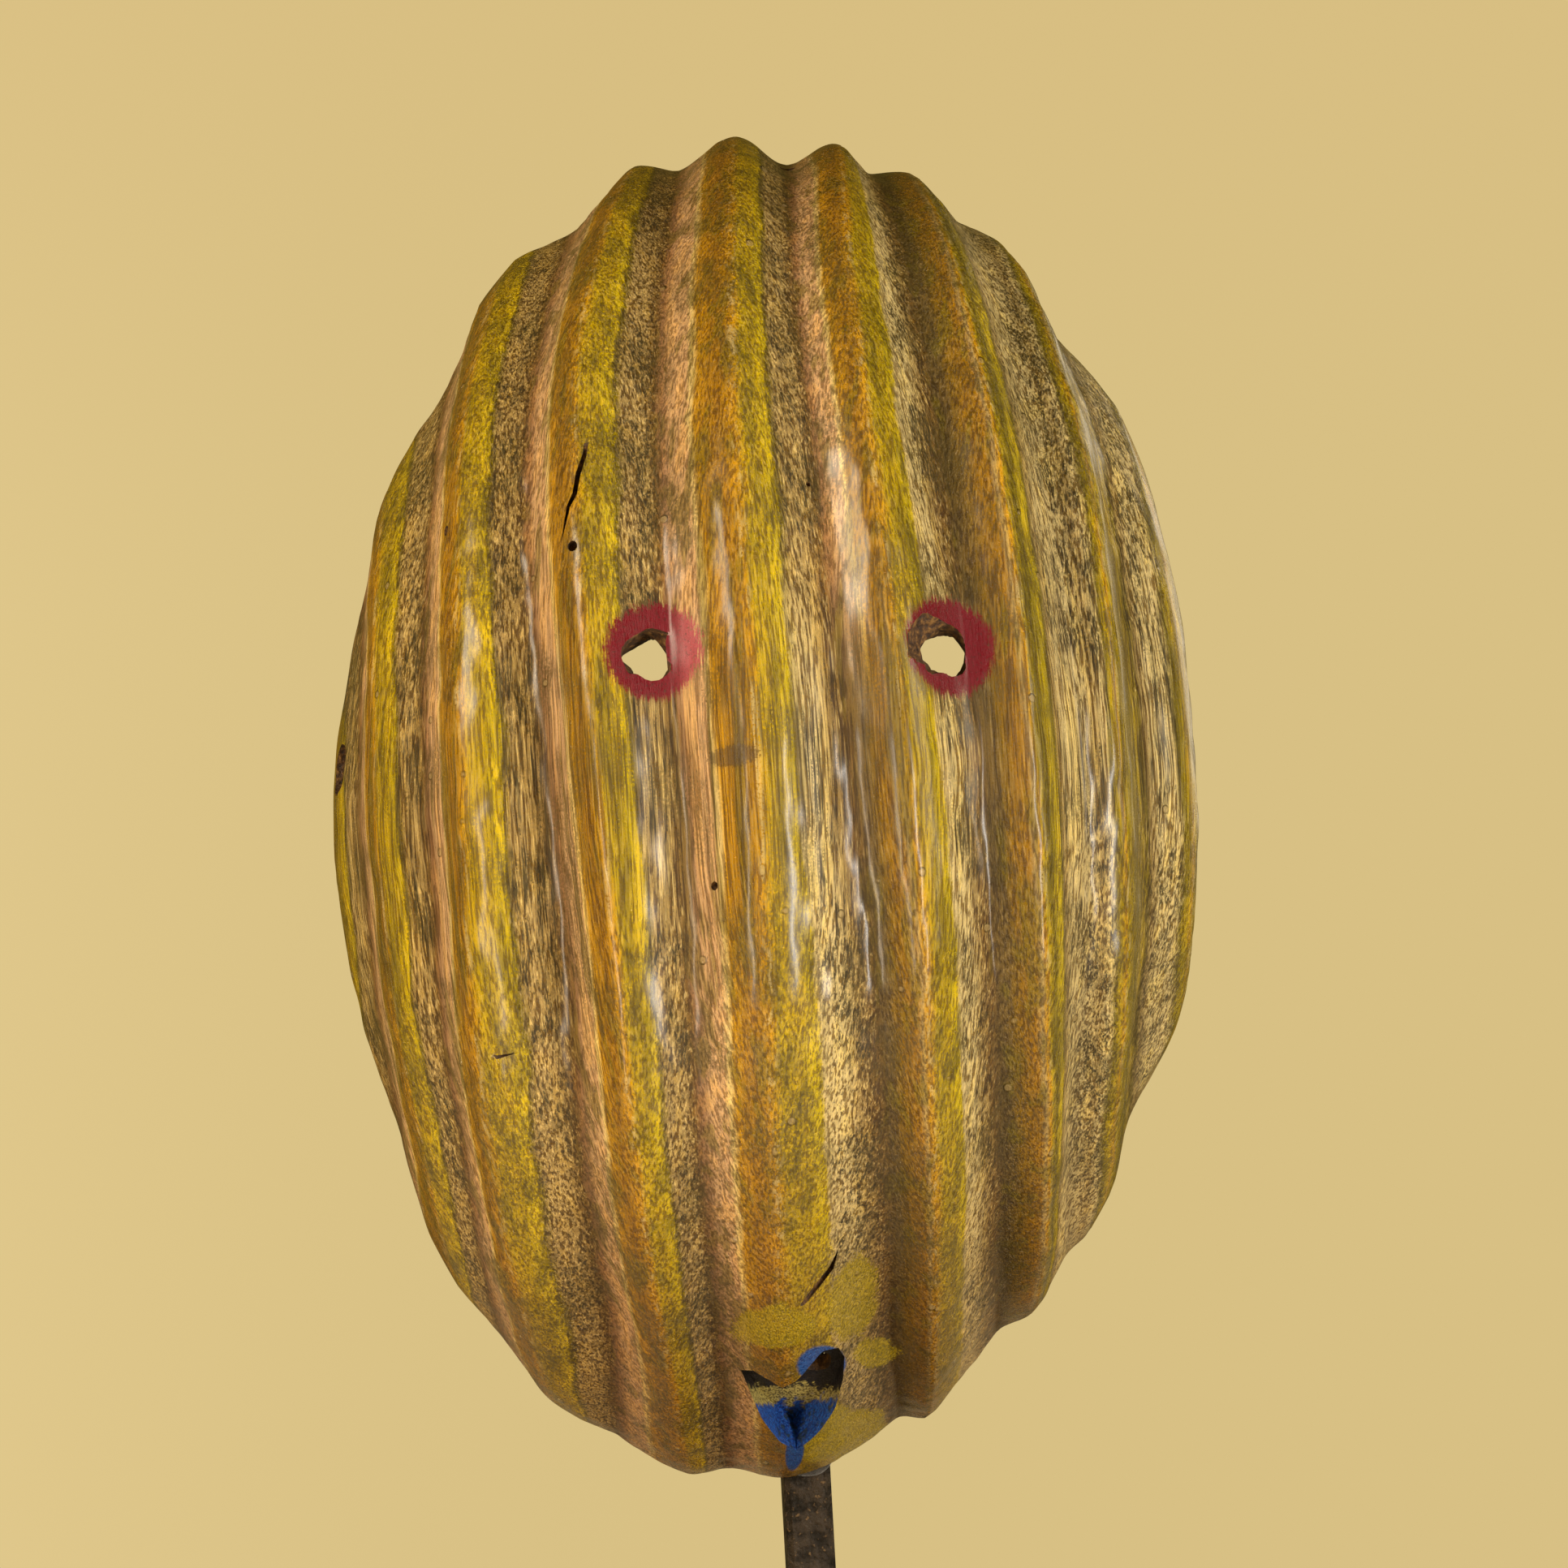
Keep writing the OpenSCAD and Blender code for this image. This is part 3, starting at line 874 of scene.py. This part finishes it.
temple_middle = float(middle(np.array(float(TEMPLE_HEIGHT))))
for side, sign in (("left", -1), ("right", 1)):
    bore = Vector((sign * cos(TEMPLE_TILT), -sin(TEMPLE_TILT), 0))
    seat = Vector((temple_middle + sign * TEMPLE_OUT, -8.5, TEMPLE_HEIGHT))
    ends = (seat - 14 * bore, seat + 18 * bore)
    name = f"{side}_temple_cutter"
    cutters.append(round_cutter(name, *ends, TEMPLE_RADII, rough_cut, shake=0.5))
cutters.append(
    round_cutter("crown_cutter", (7.5, -20, 100), (7.5, -20, 140), CROWN_RADII, rough_cut)
)

# %% [markdown]
# A woodworm hole, a knot, a pore and a dent go in square to the carved surface, so a ray from the
# front finds the spot and the way the surface faces there.

# %% Pits
PITS = (
    ("worm", (-66, 47), (0.5, 1.0, 1.2), 5.0), ("knot", (-43, 38.5), (0.6, 1.1, 1.0), 4.0),
    ("pore", (2.5, 47.5), (0.3, 0.5, 0.6), 2.5), ("dent", (-20.8, -29), (0.4, 0.9, 1.1), 1.6),
)
PIT_SIDES = 12

ahead = (MASK_PLACE.to_3x3() @ Vector((0, 1, 0))).normalized()
for name, (pit_x, pit_z), radii, depth in PITS:
    _, seat, square, _ = mask.ray_cast(MASK_PLACE @ Vector((pit_x, -120, pit_z)), ahead)
    seat = MASK_PLACE.inverted() @ seat
    square = (MASK_PLACE.inverted().to_3x3() @ square).normalized()
    ends = (seat - depth * square, seat + 2 * square)
    shape = {"shake": 0.4, "sides": PIT_SIDES}
    cutters.append(round_cutter(f"{name}_cutter", *ends, radii, rough_cut, **shape))

# %% [markdown]
# The crack over the left eye, the split above the mouth and a nick in the cheek are thin outlines
# cut straight back, and each stops part of the way into the wall.

# %% Crack, split and nick
CRACK = (
    (-34.6, 63.8), (-36.0, 61.4), (-38.4, 59.4), (-38.9, 57.0), (-40.4, 53.0), (-41.4, 49.0),
    (-42.9, 46.5), (-45.0, 39.6), (-43.5, 46.8), (-42.2, 49.4), (-41.3, 53.4), (-39.7, 57.2),
    (-39.2, 60.0), (-36.6, 62.2),
)
SPLIT = (
    (0.5, -97), (-1.5, -100.5), (-4.2, -103.4), (-7.2, -107), (-8.4, -110.6), (-6.4, -107.2),
    (-3.4, -104), (-0.6, -100.8),
)
NICK = ((-67.5, -55.6), (-62.5, -56.4), (-58.5, -56.2), (-62.5, -57.1), (-66.5, -56.6))
DAMAGE = (
    ("crack", CRACK, -80, 16.5), ("split", SPLIT, -60, 12), ("nick", NICK, -70, 17),
)

for name, outline, front, length in DAMAGE:
    straight = ((0, front, 0), (0, 1, 0), length)
    cutters.append(flat_cutter(f"{name}_cutter", outline, *straight, rough_cut))

# %% One Boolean for all the cuts
SHARPEST = radians(38)

cutting = bpy.data.collections.new("cutters")
for cutter in cutters:
    cutting.objects.link(cutter)
boolean = mask.modifiers.new("holes", "BOOLEAN")
boolean.operation = "DIFFERENCE"
boolean.operand_type = "COLLECTION"
boolean.collection = cutting
boolean.solver = "MANIFOLD"
boolean.material_mode = "TRANSFER"
before = len(mask.data.polygons)
apply_modifiers(mask)
for cutter in cutters:
    bpy.data.objects.remove(cutter)
bpy.data.collections.remove(cutting)
take(mask)
bpy.ops.object.shade_smooth_by_angle(angle=SHARPEST)
print("holes: faces went from", before, "to", len(mask.data.polygons))
print("finishes:", [material.name for material in mask.data.materials])
for layer in [layer for layer in mask.data.uv_layers if layer.name != "ribs"]:
    mask.data.uv_layers.remove(layer)

# %% The mask takes the place of its CAD node
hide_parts("mask_shell")
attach(mask, "mask")

# %% [markdown]
# ## Iron, steel and brass
# The post was forged, so its black scale is uneven, pitted and specked with rust. The socket and
# the thumb screw were blackened and waxed later, and the small screws are plain steel.


# %% Metals
def object_places(mixer):
    """Object coordinates in millimetres."""
    coordinates = mixer.node("ShaderNodeTexCoord", None, out=3)
    scaling = {"operation": "SCALE"}
    return mixer.node("ShaderNodeVectorMath", scaling, coordinates, Scale=1 / MILLIMETRE)


def forged(mixer):
    places = object_places(mixer)
    scale = mixer.speckle(places, 0.25, 5.0, 0.6)
    pits = mixer.speckle(places, 1.1, 4.0, 0.6)
    colour = mixer.blend(scale.rise(0.4, 0.62), srgb(30, 25, 18), srgb(58, 46, 32))
    colour = mixer.blend(pits.rise(0.6, 0.68), colour, srgb(116, 92, 62))
    colour = mixer.blend(pits.rise(0.38, 0.3), colour, srgb(16, 12, 9))
    return {
        "Base_Color": colour,
        "Metallic": scale.rise(0.35, 0.6, 0.75, 0.35),
        "Roughness": pits.rise(0.3, 0.7, 0.38, 0.68),
        "Normal": mixer.bump(scale * 2.5 + pits, 0.8, 0.0008),
    }


def blackened(mixer):
    places = object_places(mixer)
    wax = mixer.speckle(places, 0.12, 4.0)
    fine = mixer.speckle(places, 3.0, 3.0)
    rubbed = (wax * 0.6 + fine * 0.4).rise(0.53, 0.6)
    return {
        "Base_Color": mixer.blend(rubbed * 0.6, srgb(38, 37, 36), srgb(92, 86, 78)),
        "Metallic": rubbed.rise(0, 1, 0.7, 0.95),
        "Roughness": wax.rise(0.3, 0.7, 0.28, 0.5),
        "Normal": mixer.bump(fine, 0.25, 0.0002),
    }


def turned_metal(light, dark):
    def recipe(mixer):
        places = object_places(mixer)
        fine = mixer.speckle(places, 4.0, 3.0)
        dull = mixer.speckle(places, 0.4, 4.0)
        return {
            "Base_Color": mixer.blend(dull.rise(0.42, 0.66), light, dark),
            "Roughness": fine.rise(0.3, 0.7, 0.22, 0.42) + dull * 0.1,
            "Normal": mixer.bump(fine, 0.2, 0.0001),
        }
    return recipe


forged_iron = finish_of("forged_black_iron", forged)
black_steel = finish_of("blackened_waxed_steel", blackened)
steel_recipe = turned_metal(srgb(186, 182, 176), srgb(120, 114, 106))
screw_steel = finish_of("dulled_screw_steel", steel_recipe, Metallic=1.0)
brass_recipe = turned_metal(srgb(214, 178, 104), srgb(150, 112, 58))
brass = finish_of("turned_brass", brass_recipe, Metallic=1.0)

# %% [markdown]
# ## The ebonised base, rubber and felt
# The block is oak stained black, so its open pores still show in a low sheen. Rubber is matt with a
# little bloom, and felt is a mat of short fibres that catches light at its edges.


# %% Wood, rubber and felt
ALONG_GRAIN = (0.035, 1.0, 1.0)


def ebonised(mixer):
    places = object_places(mixer)
    product = {"operation": "MULTIPLY"}
    stretched = mixer.node("ShaderNodeVectorMath", product, places, ALONG_GRAIN)
    rings = mixer.speckle(stretched, 0.16, 4.0)
    pores = mixer.speckle(stretched, 1.6, 3.0)
    colour = mixer.blend(rings.rise(0.4, 0.64), srgb(30, 24, 19), srgb(58, 45, 34))
    open_pores = pores.rise(0.56, 0.66)
    return {
        "Base_Color": mixer.blend(open_pores, colour, srgb(14, 11, 9)),
        "Roughness": rings.rise(0.3, 0.7, 0.34, 0.5) + open_pores * 0.2,
        "Normal": mixer.bump(rings * 0.6 - open_pores, 0.35, 0.0004),
    }


def rubber(mixer):
    places = object_places(mixer)
    bloom = mixer.speckle(places, 0.5, 4.0)
    return {
        "Base_Color": mixer.blend(bloom.rise(0.45, 0.7), srgb(26, 25, 25), srgb(56, 54, 52)),
        "Roughness": bloom.rise(0.3, 0.7, 0.62, 0.8),
        "Normal": mixer.bump(mixer.speckle(places, 3.0, 2.0), 0.15, 0.0002),
    }


def felt(dark, light):
    def recipe(mixer):
        places = object_places(mixer)
        tufts = mixer.speckle(places, 0.8, 5.0, 0.7)
        fibres = mixer.speckle(places, 4.0, 4.0, 0.7)
        return {
            "Base_Color": mixer.blend((tufts * 0.5 + fibres * 0.5).rise(0.4, 0.62), dark, light),
            "Roughness": fibres.rise(0.3, 0.7, 0.85, 1.0),
            "Normal": mixer.bump(fibres + tufts, 0.7, 0.0006),
        }
    return recipe


ebony_oak = finish_of("ebonised_oak", ebonised, Coat_Weight=0.15, Coat_Roughness=0.3)
tip_rubber = finish_of("matt_rubber", rubber)
NAP = {"Sheen_Weight": 0.4, "Sheen_Roughness": 0.5}
grey_felt = finish_of("dense_grey_felt", felt(srgb(38, 36, 34), srgb(78, 74, 70)), **NAP)
green_felt = finish_of("green_felt", felt(srgb(22, 38, 30), srgb(46, 72, 58)), **NAP)

# %% Finishes on the parts of the stand
STAND_FINISHES = {
    "base_block": ebony_oak, "socket_flange": black_steel, "flange_screws": screw_steel,
    "thrust_washer": brass, "clamp_tip": brass, "clamp_screw": black_steel, "post": forged_iron,
    "fork_screw": screw_steel, "brow_fork": forged_iron, "brow_tip_left": tip_rubber,
    "brow_tip_right": tip_rubber,
}
for node_name, material in STAND_FINISHES.items():
    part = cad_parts[node_name]
    part.data.materials.clear()
    part.data.materials.append(material)
print("finished", len(STAND_FINISHES), "parts of the stand")

# %% [markdown]
# ## Felt pads
# The base stands on a sheet of felt, and a felt puck on the post keeps the iron off the rim. Cut
# felt has soft edges and a slightly uneven face, so each pad starts from a copy of its CAD solid:
# the copy is merged, its edges are bevelled, it is divided finely and its faces are roughened.


# %% Two pads of felt
MERGED = 0.00001
NEARLY_FLAT = radians(3)
TUFT = 3.5


def felt_pad(name, node_name, edge, cell, uneven, material):
    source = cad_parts[node_name]
    pad = source.copy()
    pad.data = source.data.copy()
    pad.parent = None
    pad.matrix_world = Matrix.Identity(4)
    bpy.context.collection.objects.link(pad)
    pad.name = pad.data.name = name
    take(pad)
    bpy.ops.object.mode_set(mode="EDIT")
    bpy.ops.mesh.select_all(action="SELECT")
    bpy.ops.mesh.remove_doubles(threshold=MERGED)
    bpy.ops.mesh.dissolve_limited(angle_limit=NEARLY_FLAT)
    bpy.ops.object.mode_set(mode="OBJECT")
    rounding = pad.modifiers.new("soft edge", "BEVEL")
    rounding.width = edge
    rounding.segments = 3
    rounding.limit_method = "ANGLE"
    fine = pad.modifiers.new("fine cells", "REMESH")
    fine.mode = "VOXEL"
    fine.voxel_size = cell
    apply_modifiers(pad)
    low, high = (Vector(corner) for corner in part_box(node_name))
    places = places_of(pad)
    rough = np.stack([lumps(places * 1000, TUFT, seed) for seed in (21, 22, 23)], 1) * uneven
    move_to(pad, np.clip(places + rough, low, high))
    bpy.ops.object.shade_smooth()
    wood_slots(pad, material)
    print(name, len(pad.data.polygons), "faces")
    return pad


sole = felt_pad("sole_felt_pad", "base_felt", 0.0005, 0.0009, 0.0003, green_felt)
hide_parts("base_felt")
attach(sole, "base")
chin = felt_pad("chin_felt_pad", "chin_pad", 0.0006, 0.0004, 0.0003, grey_felt)
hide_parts("chin_pad")
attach(chin, "post")

# %% [markdown]
# ## Studio
# A round pale floor lies under the base. The camera sees surroundings of a warm tan, a little
# brighter on the left and darker towards the top: painted light, the falloff of the lamps across a
# wall. Every other ray finds them yellower and much dimmer, so they fill the shadows without a haze
# over the dark wood. Two tall, narrow panels give each rib a long soft highlight, and three more
# light the crown, the right side and the back.

# %% Floor
clear_selection()
bpy.ops.mesh.primitive_circle_add(vertices=96, radius=0.7, fill_type="NGON")
floor = named("floor")


def pale_floor(mixer):
    cloud = mixer.speckle(object_places(mixer), 0.01, 3.0)
    return {
        "Base_Color": mixer.blend(cloud, srgb(226, 214, 190), srgb(232, 222, 200)),
        "Roughness": cloud.rise(0.3, 0.7, 0.6, 0.75),
    }


wood_slots(floor, finish_of("pale_floor", pale_floor))

# %% Surroundings
SIDE_TILT = 0.087
FILL = 0.15

world = bpy.data.worlds.new("studio")
bpy.context.scene.world = world
world.use_nodes = True
room = Mixer(world.node_tree)
direction = room.parts(room.node("ShaderNodeTexCoord", None, out=0))
# Painted light: the backdrop darkens towards the right and towards the top, like a lamp's falloff
# across a wall.
backdrop_falloff = (direction[0] + direction[1] * SIDE_TILT).rise(-0.16, 0.16)
tan = room.blend(backdrop_falloff, srgb(236, 211, 150), srgb(216, 192, 132))
tan = room.blend(direction[2].rise(0.02, 0.16) * 0.6, tan, srgb(216, 189, 128))
seen = room.node("ShaderNodeLightPath", None, out=0)
tan = room.blend(seen, srgb(236, 202, 96), tan)
glow = room.node("ShaderNodeBackground", None, tan, seen * (1 - FILL) + FILL)
room.node("ShaderNodeOutputWorld", None, glow)


# %% Lights
def soft_light(name, place, size, power, colour, aim=(0.0, -0.05, 0.27)):
    light = bpy.data.lights.new(name, "AREA")
    light.shape = "RECTANGLE"
    light.size, light.size_y = size
    light.energy = power
    light.color = colour[:3]
    lamp = bpy.data.objects.new(name, light)
    bpy.context.collection.objects.link(lamp)
    toward = Vector(aim) - Vector(place)
    turn = toward.to_track_quat("-Z", "Y").to_matrix().to_4x4()
    lamp.matrix_world = Matrix.Translation(place) @ turn


soft_light("left_window", (-0.78, -0.84, 0.2), (0.14, 0.7), 6.5, srgb(255, 234, 204))
soft_light("right_window", (0.7, -0.88, 0.17), (0.09, 0.7), 9.5, srgb(255, 248, 236))
soft_light("left_high", (-0.95, -0.55, 0.85), (0.35, 0.35), 9.0, srgb(255, 236, 206))
soft_light("right_side", (1.1, -0.4, 0.4), (0.25, 0.6), 3.5, srgb(255, 240, 214))
soft_light("back_panel", (0.85, 1.15, 0.45), (0.5, 0.5), 1.4, srgb(255, 240, 214))
print("lights:", len(bpy.data.lights))
